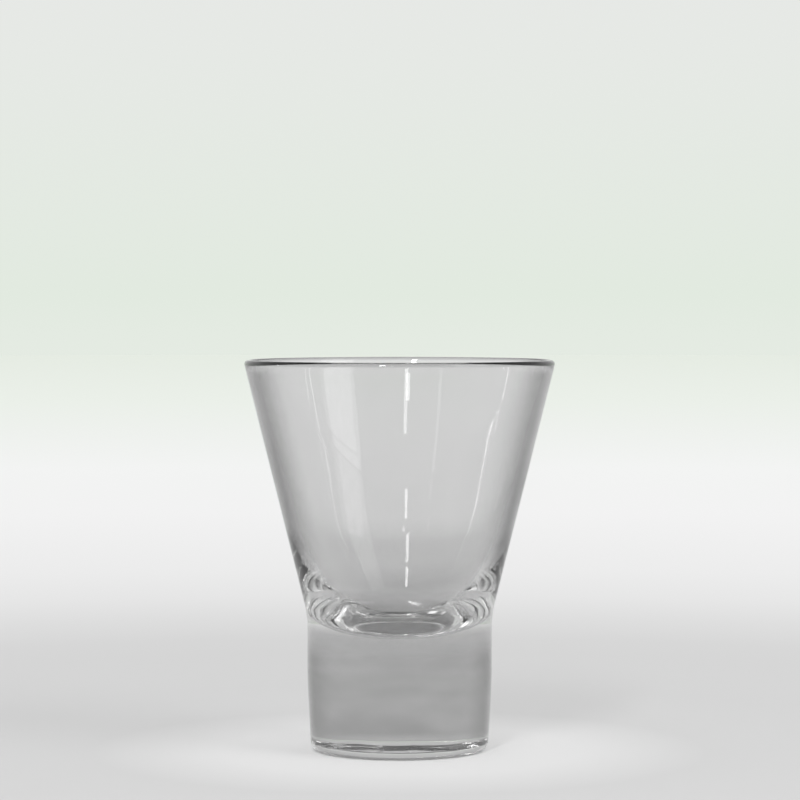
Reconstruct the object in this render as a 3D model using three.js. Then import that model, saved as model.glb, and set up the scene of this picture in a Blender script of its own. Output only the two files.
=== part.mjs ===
// Absinthe glass: a conical cup of clear pressed glass on a heavy, nearly cylindrical foot.
// The two meet at an assumed seam across the waist: the real glass shows none and may be one piece.
// Millimetres, +Z up. The origin is the centre of the ring that the glass stands on.

import * as THREE from 'three';

// Overall sizes
const glassHeight = 108;
const rimDiameter = 86;
const waistDiameter = 51.2;
const baseDiameter = 49.1;

// Outside of the cup: a straight cone from the waist to the fire-polished lip
const lipThickness = 2.4;
const waistHeight = 37.3;
const waistRound = 30;

// Hollow of the cup: three arcs that touch, for its floor, turn and side, below a straight wall.
// Each slope, in degrees, is where one arc passes into the next.
const cupFloor = 5.4;
const floorRound = 50;
const floorSlope = 7;
const turnRound = 16;
const turnSlope = 58;
const sideRound = 90;

// Foot: its dished top holds the cup, and its side draws in towards the base
const dishDepth = 7.6;
const neckLength = 11;
const draftBend = 5;
const baseRound = 2.4;
const puntDiameter = 39.2;
const puntDepth = 0.7;

// Fineness of the turned surfaces
const sides = 64;
const waistSteps = 6;
const lipSteps = 10;
const sideSteps = 5;
const turnSteps = 8;
const floorSteps = 3;
const dishSteps = 5;
const puntSteps = 6;
const baseSteps = 5;
const draftSteps = 5;

const quarterTurn = Math.PI / 2;

// Points are (distance from the axis, height above the base)
const point = (radius, height) => new THREE.Vector2(radius, height);

// Step of one millimetre at an angle, from straight out towards straight up
const heading = (angle) => point(Math.cos(angle), Math.sin(angle));

// Arc about a centre, from one angle to another, with both of its ends
function arcPoints(centre, radius, start, end, steps) {
  const clockwise = end < start;
  const arc = new THREE.EllipseCurve(centre.x, centre.y, radius, radius, start, end, clockwise);
  return arc.getPoints(steps);
}

// Arc that rounds the corner between two straight stretches and touches both
function roundedCorner(before, corner, after, radius, steps) {
  const back = before.clone().sub(corner).normalize();
  const ahead = after.clone().sub(corner).normalize();
  const halfAngle = Math.acos(back.dot(ahead)) / 2;
  const inwards = back.clone().add(ahead).normalize();
  const centre = corner.clone().addScaledVector(inwards, radius / Math.sin(halfAngle));
  const touch = radius / Math.tan(halfAngle);
  const start = corner.clone().addScaledVector(back, touch).sub(centre).angle();
  const end = corner.clone().addScaledVector(ahead, touch).sub(centre).angle();
  const turn = Math.atan2(Math.sin(end - start), Math.cos(end - start));
  return arcPoints(centre, radius, start, start + turn, steps);
}

// Shallow cap of a sphere, from the axis out to its edge: rise is how far the edge lies above the middle
function capPoints(middle, edgeRadius, rise, steps) {
  const capRadius = (edgeRadius * edgeRadius + rise * rise) / (2 * Math.abs(rise));
  const spread = Math.asin(edgeRadius / capRadius);
  const up = Math.sign(rise);
  const centre = point(0, middle + up * capRadius);
  const bottom = -up * quarterTurn;
  return arcPoints(centre, capRadius, bottom, bottom + up * spread, steps);
}

// Slope angle of a straight wall up to the lip. Reach adds up its distances from a lower point and from the lip's centre.
// The outer wall leans out more than the line between those two points, and the inner wall leans out less.
function slopeToLip(from, lipCentre, reach, outer) {
  const across = lipCentre.clone().sub(from);
  const offset = Math.asin(reach / across.length());
  return across.angle() + (outer ? -offset : offset);
}

// Solid of revolution about +Z from an outline that starts and ends on the axis
function turnedPiece(name, outline, material) {
  const geometry = new THREE.LatheGeometry(outline, sides);
  geometry.rotateX(quarterTurn);
  const piece = new THREE.Mesh(geometry, material);
  piece.name = name;
  return piece;
}

const pressedGlass = () => new THREE.MeshStandardMaterial({ color: '#d3d6d5', roughness: 0.04, metalness: 0 });

// The lip, the cone's slope and the waist, which the cup and the foot share
const lipRadius = lipThickness / 2;
const lipCentre = point(rimDiameter / 2 - lipRadius, glassHeight - lipRadius);
const waist = point(waistDiameter / 2, waistHeight);
const coneSlope = slopeToLip(waist, lipCentre, lipRadius, true);
const upCone = waist.clone().add(heading(coneSlope));
const waistCurve = roundedCorner(point(waist.x, 0), waist, upCone, waistRound, waistSteps);

// The seam, where the cup's rounded underside lies in the foot's dish and comes out at the waist
const seamEdge = waistCurve[0];
const seamMiddle = seamEdge.y - dishDepth;
const seam = [...capPoints(seamMiddle, seamEdge.x, dishDepth, dishSteps).slice(0, -1), seamEdge];

// Cup: the seam, the waist, the cone, the round lip, and the hollow down to the middle of its floor
function makeBowl() {
  const floorEnd = THREE.MathUtils.degToRad(floorSlope) - quarterTurn;
  const turnEnd = THREE.MathUtils.degToRad(turnSlope) - quarterTurn;
  const floorCentre = point(0, seamMiddle + cupFloor + floorRound);
  const turnCentre = floorCentre.clone().addScaledVector(heading(floorEnd), floorRound - turnRound);
  const sideCentre = turnCentre.clone().addScaledVector(heading(turnEnd), turnRound - sideRound);
  const wallSlope = slopeToLip(sideCentre, lipCentre, sideRound + lipRadius, false);
  const outline = [
    ...seam,
    ...waistCurve.slice(1),
    ...arcPoints(lipCentre, lipRadius, coneSlope - quarterTurn, wallSlope + quarterTurn, lipSteps),
    ...arcPoints(sideCentre, sideRound, wallSlope - quarterTurn, turnEnd, sideSteps),
    ...arcPoints(turnCentre, turnRound, turnEnd, floorEnd, turnSteps).slice(1),
    ...arcPoints(floorCentre, floorRound, floorEnd, -quarterTurn, floorSteps).slice(1),
  ];
  return turnedPiece('bowl', outline, pressedGlass());
}

// Foot: the punt, the flat ring round it, the rounded base edge, the drawn-in side, the neck and the dish
function makeFoot() {
  const puntEdge = puntDiameter / 2;
  const draftTop = point(seamEdge.x, seamEdge.y - neckLength);
  const draftTurn = point(draftTop.x, draftTop.y - draftBend);
  const baseEdge = roundedCorner(point(0, 0), point(baseDiameter / 2, 0), draftTurn, baseRound, baseSteps);
  const side = new THREE.QuadraticBezierCurve(baseEdge.at(-1), draftTurn, draftTop);
  const outline = [
    ...capPoints(puntDepth, puntEdge, -puntDepth, puntSteps),
    ...baseEdge,
    ...side.getPoints(draftSteps).slice(1),
    ...seam.toReversed(),
  ];
  return turnedPiece('foot', outline, pressedGlass());
}

const absintheGlass = new THREE.Group();
absintheGlass.add(makeBowl(), makeFoot());

export default absintheGlass;
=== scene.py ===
import math

import bpy
import numpy as np
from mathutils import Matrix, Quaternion, Vector


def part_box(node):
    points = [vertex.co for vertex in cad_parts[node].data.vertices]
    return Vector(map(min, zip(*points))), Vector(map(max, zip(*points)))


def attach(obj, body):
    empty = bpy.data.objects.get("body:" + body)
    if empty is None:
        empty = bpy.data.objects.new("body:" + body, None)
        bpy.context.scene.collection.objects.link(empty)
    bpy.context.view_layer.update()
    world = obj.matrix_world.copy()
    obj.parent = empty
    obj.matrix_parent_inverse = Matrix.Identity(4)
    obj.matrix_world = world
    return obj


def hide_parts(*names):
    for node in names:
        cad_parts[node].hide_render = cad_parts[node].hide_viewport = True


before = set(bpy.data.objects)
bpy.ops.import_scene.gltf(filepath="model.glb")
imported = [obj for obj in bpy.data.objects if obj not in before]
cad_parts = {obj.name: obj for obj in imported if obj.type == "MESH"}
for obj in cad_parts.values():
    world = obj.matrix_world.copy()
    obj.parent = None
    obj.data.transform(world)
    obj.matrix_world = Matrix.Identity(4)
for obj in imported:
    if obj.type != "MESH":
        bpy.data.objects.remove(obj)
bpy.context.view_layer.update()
scene = bpy.context.scene
scene.view_settings.view_transform = "Standard"
scene.cycles.max_bounces = 24               # light crosses and rounds the thick foot many times
scene.cycles.glossy_bounces = 16
scene.cycles.transmission_bounces = 24
scene.cycles.transparent_max_bounces = 24
mm = 0.001
quarterTurn = math.pi / 2
fullTurn = 2 * math.pi
sameSpot = 1e-8                             # metres: outline points closer than this are one point


def linear(hexColour):
    # sRGB hex to linear, per channel: the two-part sRGB curve
    srgb = np.array([int(hexColour[i:i + 2], 16) for i in (1, 3, 5)]) / 255
    flat = np.where(srgb <= 0.04045, srgb / 12.92, ((srgb + 0.055) / 1.055) ** 2.4)
    return (*flat.tolist(), 1.0)


def addNode(tree, kind, inputs=None, **settings):
    # one node, with its settings, and with each input given a value or a link
    made = tree.nodes.new("ShaderNode" + kind)
    for name, value in settings.items():
        setattr(made, name, value)
    for name, value in (inputs or {}).items():
        if isinstance(value, bpy.types.NodeSocket):
            tree.links.new(value, made.inputs[name])
        else:
            made.inputs[name].default_value = value
    return made


def setStops(ramp, stops):
    # colours of a ramp, as (position, hex) in rising order, between the two stops that a new ramp has
    elements = ramp.color_ramp.elements
    between = [elements.new(0.5) for _ in stops[2:]]
    for element, (position, colour) in zip([elements[0], *between, elements[-1]], stops):
        element.position = position
        element.color = linear(colour)


def newMaterial(name):
    material = bpy.data.materials.new(name)
    material.use_nodes = True
    material.node_tree.nodes.clear()
    return material, material.node_tree


# Outlines: rows of (distance from the axis, height), each row a point

def arcRow(centre, radius, start, end, count):
    # circle about centre: centre + radius (cos a, sin a)
    angle = np.linspace(start, end, count)
    return np.stack([centre[0] + radius * np.cos(angle), centre[1] + radius * np.sin(angle)], 1)


def lineRow(start, end, count):
    # straight run: start (1 - t) + end t
    t = np.linspace(0, 1, count)[:, None]
    return np.asarray(start) * (1 - t) + np.asarray(end) * t


def curveRow(corners, count):
    # Bezier curve of any order: the corners are blended pair by pair until one row is left
    t = np.linspace(0, 1, count)[:, None]
    rows = [np.asarray(corner, float) for corner in corners]
    while len(rows) > 1:
        rows = [a * (1 - t) + b * t for a, b in zip(rows, rows[1:])]
    return rows[0]


def roundedRow(before, corner, after, radius, count):
    # arc that touches both straight runs of a corner
    before, corner, after = (np.asarray(p, float) for p in (before, corner, after))
    back = (before - corner) / np.linalg.norm(before - corner)
    ahead = (after - corner) / np.linalg.norm(after - corner)
    half = math.acos(back @ ahead) / 2
    inwards = (back + ahead) / np.linalg.norm(back + ahead)
    centre = corner + inwards * radius / math.sin(half)
    first = corner + back * radius / math.tan(half) - centre
    last = corner + ahead * radius / math.tan(half) - centre
    start = math.atan2(first[1], first[0])
    turn = math.remainder(math.atan2(last[1], last[0]) - start, fullTurn)
    return arcRow(centre, radius, start, start + turn, count)


def capRow(middle, edge, rise, count):
    # cap of a sphere from the axis out: (R sin a, middle + R (1 - cos a)), turned over where rise is negative
    radius = (edge ** 2 + rise ** 2) / (2 * abs(rise))
    angle = np.linspace(0, math.asin(edge / radius), count)
    return np.stack([radius * np.sin(angle), middle + np.sign(rise) * radius * (1 - np.cos(angle))], 1)


def heading(angle):
    return np.array([math.cos(angle), math.sin(angle)])


def slopeToLip(start, lip, reach, side):
    # slope of a straight wall up to the lip, outside (-1) or inside (1); reach adds up its distances
    # from the lower point and from the lip's centre
    across = np.asarray(lip) - np.asarray(start)
    return math.atan2(across[1], across[0]) + side * math.asin(reach / np.linalg.norm(across))


# How pressed glass strays from its true outline: slow waves all over, and ripples on the base.
# They ease in from the stretches that stay still, and the waves calm down towards the axis.
pressing = dict(lobes=(2, 3, 5, 7, 11), waveLength=22 * mm, sway=0.6, leastWave=0.7,
                rippleCount=16, rippleLength=5.5 * mm, leastRipple=0.6,
                ease=2.5 * mm, calm=6 * mm, sharpAngle=25)


def waves(turn, along, seed):
    # sum of slow waves that run round the piece and along its outline, between about -1 and 1:
    # cos(lobe turn + phase + sway) cos(along), where the sway follows the outline too
    s = pressing
    draw = np.random.default_rng(seed)
    total = np.zeros(np.broadcast_shapes(turn.shape, along.shape))
    for lobe in s["lobes"]:
        phase, shift, stretch = draw.random(3)
        sway = s["sway"] * np.sin(fullTurn * (along / s["waveLength"] + shift))
        length = s["waveLength"] * (s["leastWave"] + stretch)
        total += np.cos(lobe * turn + fullTurn * phase + sway) * np.cos(fullTurn * (along / length + shift))
    return total / math.sqrt(len(s["lobes"]))


def ripples(x, y, seed):
    # sum of straight waves that cross the base every way, between about -1 and 1
    s = pressing
    draw = np.random.default_rng(seed)
    total = np.zeros(x.shape)
    for bearing, phase, stretch in draw.random((s["rippleCount"], 3)):
        across = x * math.cos(fullTurn * bearing) + y * math.sin(fullTurn * bearing)
        length = s["rippleLength"] * (s["leastRipple"] + stretch)
        total += np.cos(fullTurn * (across / length + phase))
    return total / math.sqrt(s["rippleCount"])


def swelling(rows, along, heights, angle, seed):
    # how far each point moves along its normal: the heights of waves and ripples, blended along the outline
    # by exp(-gap^2) and faded to nothing, by a smooth step, at the stretches that stay still
    gap = np.abs(along[:, None] - along[None, :]) / pressing["ease"]
    blend = np.exp(-gap ** 2)
    fade = np.minimum(1, gap[:, heights.max(1) == 0].min(1))
    heights = (blend @ heights) / blend.sum(1)[:, None] * (fade ** 2 * (3 - 2 * fade))[:, None]
    wave = heights[:, 0] * np.minimum(1, rows[:, 0] / pressing["calm"]) ** 2
    ripple = heights[:, 1]
    x = rows[:, :1] * np.cos(angle)
    y = rows[:, :1] * np.sin(angle)
    return wave[:, None] * waves(angle, along[:, None], seed) + ripple[:, None] * ripples(x, y, seed)


def turnedPiece(name, stretches, segments, seed):
    # outline carried round the axis: (r cos a, r sin a, z), moved along its normal by the swelling;
    # each stretch is (row of points, wave height, ripple height, material index)
    rows = np.vstack([row for row, _, _, _ in stretches])
    heights = np.concatenate([np.full((len(row), 2), (wave, ripple)) for row, wave, ripple, _ in stretches])
    slot = np.concatenate([np.full(len(row), index) for row, _, _, index in stretches])
    keep = np.append(np.linalg.norm(np.diff(rows, axis=0), axis=1) > sameSpot, True)
    rows, heights, slot = rows[keep], heights[keep], slot[keep]
    along = np.append(0, np.cumsum(np.linalg.norm(np.diff(rows, axis=0), axis=1)))
    tangent = np.gradient(rows, along, axis=0)
    tangent /= np.linalg.norm(tangent, axis=1)[:, None]
    angle = np.linspace(0, fullTurn, segments, endpoint=False)[None, :]
    push = swelling(rows, along, heights, angle, seed)
    radius = rows[:, :1] + push * tangent[:, 1:]
    up = rows[:, 1:] - push * tangent[:, :1]
    grid = np.stack([radius * np.cos(angle), radius * np.sin(angle), np.broadcast_to(up, radius.shape)], 2)
    points = np.vstack([[[0, 0, up[0, 0]]], grid[1:-1].reshape(-1, 3), [[0, 0, up[-1, 0]]]])
    index = 1 + np.arange((len(rows) - 2) * segments).reshape(-1, segments)
    after = np.roll(index, -1, 1)
    quads = np.stack([index[:-1], after[:-1], after[1:], index[1:]], 2).reshape(-1, 4)
    last = np.full(segments, len(points) - 1)
    start = np.stack([0 * last, after[0], index[0]], 1)
    close = np.stack([index[-1], after[-1], last], 1)
    mesh = bpy.data.meshes.new(name)
    mesh.from_pydata(points.tolist(), [], start.tolist() + quads.tolist() + close.tolist())
    perRing = np.concatenate([slot[:1], slot[1:-2], slot[-1:]])
    mesh.polygons.foreach_set("material_index", np.repeat(perRing, segments).astype(np.int32))
    mesh.shade_smooth()
    mesh.set_sharp_from_angle(angle=math.radians(pressing["sharpAngle"]))
    mesh.update()
    piece = bpy.data.objects.new(name, mesh)
    scene.collection.objects.link(piece)
    return piece


# The cup and the foot share the lip, the cone's slope, the waist's round and the seam
bowlLow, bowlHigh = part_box("bowl")
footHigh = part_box("foot")[1]
shared = dict(waistHeight=37.3 * mm, waistRound=30 * mm, lipThickness=2.4 * mm,
              segments=320, waistRows=24, seamRows=28, still=0.0)
faces = dict(outside=0, seam=1, inside=2)   # material index of each kind of face
lipRadius = shared["lipThickness"] / 2
lip = np.array([bowlHigh.x - lipRadius, bowlHigh.z - lipRadius])
waist = np.array([footHigh.x, shared["waistHeight"]])
coneSlope = slopeToLip(waist, lip, lipRadius, -1)
upCone = waist + heading(coneSlope)
waistRow = roundedRow((waist[0], 0), waist, upCone, shared["waistRound"], shared["waistRows"])
seamEdge = waistRow[0]
seamRow = capRow(bowlLow.z, seamEdge[0], seamEdge[1] - bowlLow.z, shared["seamRows"])

# The hollow is three arcs that touch, floor, turn and side, below a straight wall; slopes in degrees
bowlSizes = dict(cupFloor=5.4 * mm, floorRound=50 * mm, floorSlope=7, turnRound=16 * mm, turnSlope=58,
                 sideRound=90 * mm, outerWave=0.012 * mm, innerWave=0.02 * mm, lipWave=0.006 * mm, seed=4,
                 coneRows=40, lipRows=28, wallRows=24, sideRows=44, turnRows=50, floorRows=16)


def makeBowl(glass, seamGlass, inside):
    s = bowlSizes
    floorEnd = math.radians(s["floorSlope"]) - quarterTurn
    turnEnd = math.radians(s["turnSlope"]) - quarterTurn
    floorCentre = np.array([0, bowlLow.z + s["cupFloor"] + s["floorRound"]])
    turnCentre = floorCentre + (s["floorRound"] - s["turnRound"]) * heading(floorEnd)
    sideCentre = turnCentre + (s["turnRound"] - s["sideRound"]) * heading(turnEnd)
    wallSlope = slopeToLip(sideCentre, lip, s["sideRound"] + lipRadius, 1)
    lipRow = arcRow(lip, lipRadius, coneSlope - quarterTurn, wallSlope + quarterTurn, s["lipRows"])
    sideRow = arcRow(sideCentre, s["sideRound"], wallSlope - quarterTurn, turnEnd, s["sideRows"])
    turnRow = arcRow(turnCentre, s["turnRound"], turnEnd, floorEnd, s["turnRows"])
    floorRow = arcRow(floorCentre, s["floorRound"], floorEnd, -quarterTurn, s["floorRows"])
    coneRow = lineRow(waistRow[-1], lipRow[0], s["coneRows"])
    wallRow = lineRow(lipRow[-1], sideRow[0], s["wallRows"])
    still = shared["still"]
    piece = turnedPiece("bowl_glass", [
        (seamRow, still, still, faces["seam"]),
        (waistRow, s["outerWave"], still, faces["outside"]),
        (coneRow, s["outerWave"], still, faces["outside"]),
        (lipRow, s["lipWave"], still, faces["outside"]),
        (wallRow, s["innerWave"], still, faces["inside"]),
        (np.vstack([sideRow, turnRow, floorRow]), s["innerWave"], still, faces["inside"]),
    ], shared["segments"], s["seed"])
    for material in (glass, seamGlass, inside):
        piece.data.materials.append(material)
    return piece


footSizes = dict(baseRadius=24.55 * mm, baseRound=2.4 * mm, puntRadius=19.6 * mm, puntDepth=0.7 * mm,
                 neckLength=11 * mm, draftBend=5 * mm, sideWave=0.01 * mm, edgeWave=0.03 * mm,
                 puntWave=0.03 * mm, puntRipple=0.03 * mm, edgeRipple=0.02 * mm, seed=9,
                 puntRows=80, ringRows=6, edgeRows=24, draftRows=30, neckRows=16)


def makeFoot(glass, seamGlass):
    s = footSizes
    draftTop = seamEdge - [0, s["neckLength"]]
    draftTurn = draftTop - [0, s["draftBend"]]
    edgeRow = roundedRow((0, 0), (s["baseRadius"], 0), draftTurn, s["baseRound"], s["edgeRows"])
    puntRow = capRow(s["puntDepth"], s["puntRadius"], -s["puntDepth"], s["puntRows"])
    ringRow = lineRow(puntRow[-1], edgeRow[0], s["ringRows"])
    draftRow = curveRow([edgeRow[-1], draftTurn, draftTop], s["draftRows"])
    neckRow = lineRow(draftTop, seamEdge, s["neckRows"])
    still = shared["still"]
    piece = turnedPiece("foot_glass", [
        (puntRow, s["puntWave"], s["puntRipple"], faces["outside"]),
        (ringRow, still, still, faces["outside"]),
        (edgeRow, s["edgeWave"], s["edgeRipple"], faces["outside"]),
        (draftRow, s["sideWave"], still, faces["outside"]),
        (neckRow, s["sideWave"], still, faces["outside"]),
        (seamRow[::-1], still, still, faces["seam"]),
    ], shared["segments"], s["seed"])
    piece.data.materials.append(glass)
    piece.data.materials.append(seamGlass)
    return piece


# Tints by height in mm: the solid foot is greyer than the cup's thin wall and the clear base, and one passes
# into the other. The edge stops are painted shade, darker where the glass turns side on; slants, from 0 face
# on to 1 side on, are where it sets in and where it is full.
glassLook = dict(ior=1.52, cordSize=14 * mm, cordLayers=2.5, cordDetail=1.0,
                 slants=(0.28, 0.7), evenBlend=0.5,
                 scuffSize=0.8 * mm, scuffDetail=3.0, scuffHeights=(0.05 * mm, 0.2 * mm), scuffed=0.45,
                 tint=((0, "#e8e8e8"), (1.5, "#e4e4e4"), (4, "#d2d2d2"), (22, "#d2d2d2"),
                       (33.6, "#d8d8d8"), (46, "#eeeeee"), (108, "#eeeeee")),
                 cord=((0, "#dcdcdc"), (1.5, "#d4d4d4"), (4, "#acacac"), (22, "#acacac"),
                       (33.6, "#c0c0c0"), (46, "#ebebeb"), (108, "#ebebeb")),
                 # edge: colours of the painted shade at the edges, by height, darkest on the cup's upper wall
                 edge=((0, "#c8c8c8"), (2, "#b8b8b8"), (5, "#808080"), (26, "#808080"), (33.6, "#c8c8c8"),
                       (44, "#e8e8e8"), (58, "#595959"), (104.5, "#595959"), (106.5, "#b0b0b0"),
                       (108, "#b0b0b0")),
                 inside=((0, "#eeeeee"), (108, "#ebebeb")))


def pressedGlass(name, tint, cord, edge):
    # clear soda-lime glass, pressed in a polished mould and fire-polished: sharp reflections and a clear view
    # through it, a faint grey tint in soft layers, edges darkened as they turn side on, partly the longer
    # path through the glass and mostly painted shade for the dark surroundings the edges show, and a standing
    # ring scuffed dull by tables
    s = glassLook
    material, tree = newMaterial(name)
    place = addNode(tree, "TexCoord").outputs["Object"]
    up = addNode(tree, "SeparateXYZ", {"Vector": place}).outputs["Z"]
    height = addNode(tree, "MapRange", {"Value": up, "From Max": bowlHigh.z}).outputs["Result"]
    tones = []
    for stops in (tint, cord, edge):
        ramp = addNode(tree, "ValToRGB", {"Fac": height})
        setStops(ramp, [(level * mm / bowlHigh.z, colour) for level, colour in stops])
        tones.append(ramp.outputs["Color"])
    layers = addNode(tree, "Mapping", {"Vector": place, "Scale": (1, 1, s["cordLayers"])})
    cords = addNode(tree, "TexNoise", {
        "Vector": layers.outputs["Vector"], "Scale": 1 / s["cordSize"], "Detail": s["cordDetail"]})
    colour = addNode(tree, "MixRGB", {"Fac": cords.outputs["Fac"], "Color1": tones[0], "Color2": tones[1]})
    # painted shade: the colour turns to the edge ramp's darker grey as the surface turns side on
    slant = addNode(tree, "LayerWeight", {"Blend": s["evenBlend"]}).outputs["Facing"]
    edgeShadeAmount = addNode(tree, "MapRange", {
        "Value": slant, "From Min": s["slants"][0], "From Max": s["slants"][1],
    }, interpolation_type="SMOOTHSTEP")
    edgeShadedColour = addNode(tree, "MixRGB", {
        "Fac": edgeShadeAmount.outputs["Result"], "Color1": colour.outputs["Color"], "Color2": tones[2]})
    scuffs = addNode(tree, "TexNoise", {
        "Vector": place, "Scale": 1 / s["scuffSize"], "Detail": s["scuffDetail"]})
    ring = addNode(tree, "MapRange", {
        "Value": up, "From Min": s["scuffHeights"][0], "From Max": s["scuffHeights"][1],
        "To Min": s["scuffed"], "To Max": 0.0})
    worn = addNode(tree, "Math", {0: ring.outputs["Result"], 1: scuffs.outputs["Fac"]}, operation="MULTIPLY")
    shader = addNode(tree, "BsdfPrincipled", {
        "Base Color": edgeShadedColour.outputs["Color"], "Roughness": worn.outputs["Value"], "IOR": s["ior"],
        "Transmission Weight": 1.0})
    addNode(tree, "OutputMaterial", {"Surface": shader.outputs["BSDF"]})
    return material


def fusedJoint():
    # where the cup and the foot meet, the glass is one mass with no surface in it, so the seam shows nothing
    material, tree = newMaterial("fused_glass_joint")
    clear = addNode(tree, "BsdfTransparent", {"Color": linear("#ffffff")})
    addNode(tree, "OutputMaterial", {"Surface": clear.outputs["BSDF"]})
    return material


seamGlass = fusedJoint()
outside = pressedGlass("pressed_glass", glassLook["tint"], glassLook["cord"], glassLook["edge"])
inside = pressedGlass("pressed_glass_inside", *[glassLook["inside"]] * 3)
bowl = makeBowl(outside, seamGlass, inside)
foot = makeFoot(outside, seamGlass)
for piece, node in ((bowl, "bowl"), (foot, "foot")):
    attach(piece, "root")
    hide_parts(node)
print("glass made:", len(bowl.data.polygons), "and", len(foot.data.polygons), "faces")

# Floor: matt pale paper with painted light and shade: white under the glass, a painted pool of the light that
# comes through it, greyest some 0.1 to 0.3 m away, painted shade round the glass, then paler with distance
# until it meets the backdrop. Stops are (metres from the glass, colour).
floorLook = dict(radius=6.0, drop=0.2 * mm, rings=48, segments=96, ringCrowding=2, stopCrowding=1 / 3,
                 # stops: painted light under the glass out to 0.0265 m, painted shade from about 0.085 to 0.3
                 # m
                 stops=((0.0, "#fafafa"), (0.0215, "#fafafa"), (0.0265, "#ececec"), (0.05, "#e2e2e2"),
                        (0.085, "#cecece"), (0.15, "#cbcbcb"), (0.25, "#cccccc"), (0.3, "#cecece"),
                        (0.38, "#d6d6d6"), (0.47, "#dfdfdf"), (0.6, "#e6e6e6"), (1.0, "#f0f0f0"),
                        (1.5, "#f4f5f4"), (2.2, "#f2f5f1"), (3.0, "#f0f5ee"), (6.0, "#ecf2e9")))


def makeFloor():
    # flat disc: (r cos a, r sin a, -drop), its rings closer together near the glass
    s = floorLook
    ring = (s["radius"] * np.linspace(0, 1, s["rings"]) ** s["ringCrowding"])[1:, None]
    angle = np.linspace(0, fullTurn, s["segments"], endpoint=False)[None, :]
    level = np.full((s["rings"] - 1, s["segments"]), -s["drop"])
    grid = np.stack([ring * np.cos(angle), ring * np.sin(angle), level], 2)
    points = np.vstack([[[0, 0, -s["drop"]]], grid.reshape(-1, 3)])
    index = 1 + np.arange((s["rings"] - 1) * s["segments"]).reshape(-1, s["segments"])
    after = np.roll(index, -1, 1)
    quads = np.stack([index[:-1], index[1:], after[1:], after[:-1]], 2).reshape(-1, 4)
    middle = np.stack([0 * index[0], index[0], after[0]], 1)
    mesh = bpy.data.meshes.new("floor")
    mesh.from_pydata(points.tolist(), [], middle.tolist() + quads.tolist())
    mesh.update()
    floor = bpy.data.objects.new("floor", mesh)
    scene.collection.objects.link(floor)
    mesh.materials.append(paperWithPaintedLight())
    return floor


def paperWithPaintedLight():
    # matt paper: soft, with no gloss, its tone set by distance from the glass: a painted pool of light under
    # the glass and painted shade round it
    s = floorLook
    material, tree = newMaterial("matt_paper_floor_painted_light")
    place = addNode(tree, "TexCoord").outputs["Object"]
    away = addNode(tree, "VectorMath", {0: place}, operation="LENGTH").outputs["Value"]
    reach = s["stops"][-1][0]
    share = addNode(tree, "MapRange", {"Value": away, "From Max": reach})
    spread = addNode(tree, "Math", {0: share.outputs["Result"], 1: s["stopCrowding"]}, operation="POWER")
    # painted light and shade on the floor, by distance from the glass
    ramp = addNode(tree, "ValToRGB", {"Fac": spread.outputs["Value"]})
    setStops(ramp, [((distance / reach) ** s["stopCrowding"], colour) for distance, colour in s["stops"]])
    matt = addNode(tree, "BsdfDiffuse", {"Color": ramp.outputs["Color"]})
    addNode(tree, "OutputMaterial", {"Surface": matt.outputs["BSDF"]})
    return material


makeFloor()

# Backdrop and room, by degrees above the horizon: pale low down, greyer from 28 and dark overhead, with one
# paler band. The camera and the glass see it; matt surfaces get an even soft light instead.
roomLook = dict(softLight="#f8f8f8", noMattYet=0.5,
                stops=((-90, "#e5ebe3"), (-1, "#e5ebe3"), (0, "#e2eae0"), (4, "#e6e9e5"), (8, "#e8e8e8"),
                       (22, "#dcdcdc"), (28, "#bcbcbc"), (47, "#b4b4b4"), (51, "#404040"), (61, "#404040"),
                       (64, "#909090"), (68, "#404040"), (90, "#303030")))


def makeRoom():
    world = bpy.data.worlds.new("studio")
    scene.world = world
    world.use_nodes = True
    tree = world.node_tree
    tree.nodes.clear()
    way = addNode(tree, "TexCoord").outputs["Generated"]
    up = addNode(tree, "SeparateXYZ", {"Vector": way}).outputs["Z"]
    rise = addNode(tree, "Math", {0: up}, operation="ARCSINE")
    share = addNode(tree, "MapRange", {
        "Value": rise.outputs["Value"], "From Min": -quarterTurn, "From Max": quarterTurn})
    ramp = addNode(tree, "ValToRGB", {"Fac": share.outputs["Result"]})
    setStops(ramp, [((degrees + 90) / 180, colour) for degrees, colour in roomLook["stops"]])
    path = addNode(tree, "LightPath").outputs
    shown = addNode(tree, "Math", {0: path["Is Camera Ray"], 1: path["Is Glossy Ray"]}, operation="ADD")
    seen = addNode(tree, "Math", {
        0: shown.outputs["Value"], 1: path["Is Transmission Ray"]}, operation="ADD", use_clamp=True)
    direct = addNode(tree, "Math", {
        0: path["Diffuse Depth"], 1: roomLook["noMattYet"]}, operation="LESS_THAN")
    room = addNode(tree, "Math", {0: seen.outputs["Value"], 1: direct.outputs["Value"]}, operation="MULTIPLY")
    colour = addNode(tree, "MixRGB", {
        "Fac": room.outputs["Value"], "Color1": linear(roomLook["softLight"]),
        "Color2": ramp.outputs["Color"]})
    light = addNode(tree, "Background", {"Color": colour.outputs["Color"], "Strength": 1.0})
    addNode(tree, "OutputWorld", {"Surface": light.outputs["Background"]})


makeRoom()

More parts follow.
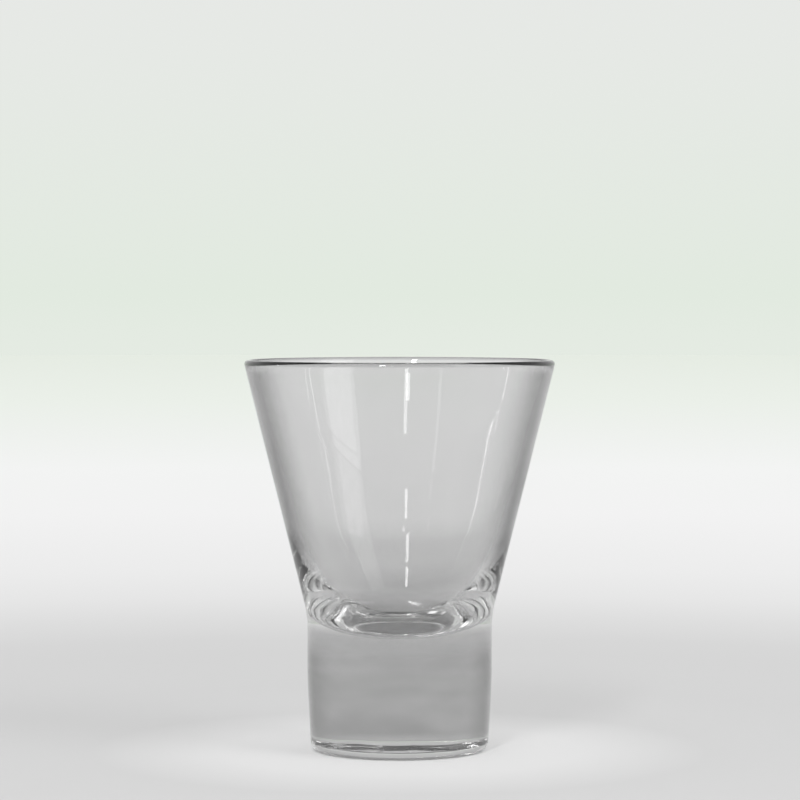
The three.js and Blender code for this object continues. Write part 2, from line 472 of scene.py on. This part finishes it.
# Lamps stand round the glass: azimuth from the camera's side, to its right, elevation, width and height, all
# in degrees. The windows give the parts of the upright highlight, and the strips give thin lines beside it.
lamps = dict(
    softboxRight=dict(azimuth=57, elevation=33, width=26, height=40, radiance=1.8),
    windowTop=dict(azimuth=-6, elevation=30.3, width=2.8, height=1.9, radiance=6.5),
    windowLow=dict(azimuth=-7.5, elevation=25.9, width=2.8, height=1.6, radiance=11.0),
    windowHigh=dict(azimuth=-14.2, elevation=43, width=3.8, height=22.5, radiance=20.0, lean=9),
    stripLeft=dict(azimuth=-102, elevation=15.5, width=1.4, height=6, radiance=9.0),
    stripRight=dict(azimuth=86, elevation=20, width=1.2, height=6, radiance=4.0),
    stripMiddle=dict(azimuth=-38, elevation=27, width=2.4, height=5, radiance=1.6),
)
lampDistance = 1.8
aim = Vector((0, 0, 60 * mm))


def makeLamp(name, azimuth, elevation, width, height, radiance, lean=0):
    turn = math.radians(azimuth)
    rise = math.radians(elevation)
    level = math.cos(rise)
    towards = Vector((level * math.sin(turn), -level * math.cos(turn), math.sin(rise)))
    place = aim + lampDistance * towards
    data = bpy.data.lights.new(name, "AREA")
    data.shape = "RECTANGLE"
    data.size = 2 * lampDistance * math.tan(math.radians(width / 2))
    data.size_y = 2 * lampDistance * math.tan(math.radians(height / 2))
    data.energy = math.pi * data.size * data.size_y * radiance
    lamp = bpy.data.objects.new(name, data)
    lamp.location = place
    facing = (aim - place).to_track_quat("-Z", "Y")
    lamp.rotation_euler = (facing @ Quaternion((0, 0, 1), math.radians(lean))).to_euler()
    scene.collection.objects.link(lamp)


for name, lamp in lamps.items():
    makeLamp(name, **lamp)
print("stage, room and", len(lamps), "lamps made")

# Camera: a little above the rim and turned slightly down, as the photograph was taken; angles in degrees
view = dict(distance=0.919, height=126.2 * mm, down=1.83, aside=-0.007,
            focalPixels=3320, imagePixels=800, sensor=36)
camera = bpy.data.cameras.new("camera")
camera.sensor_width = view["sensor"]
camera.lens = view["focalPixels"] / view["imagePixels"] * view["sensor"]
cameraObject = bpy.data.objects.new("camera", camera)
cameraObject.location = (0, -view["distance"], view["height"])
cameraObject.rotation_euler = (math.radians(90 - view["down"]), 0, math.radians(view["aside"]))
scene.collection.objects.link(cameraObject)
scene.camera = cameraObject
print("camera made")
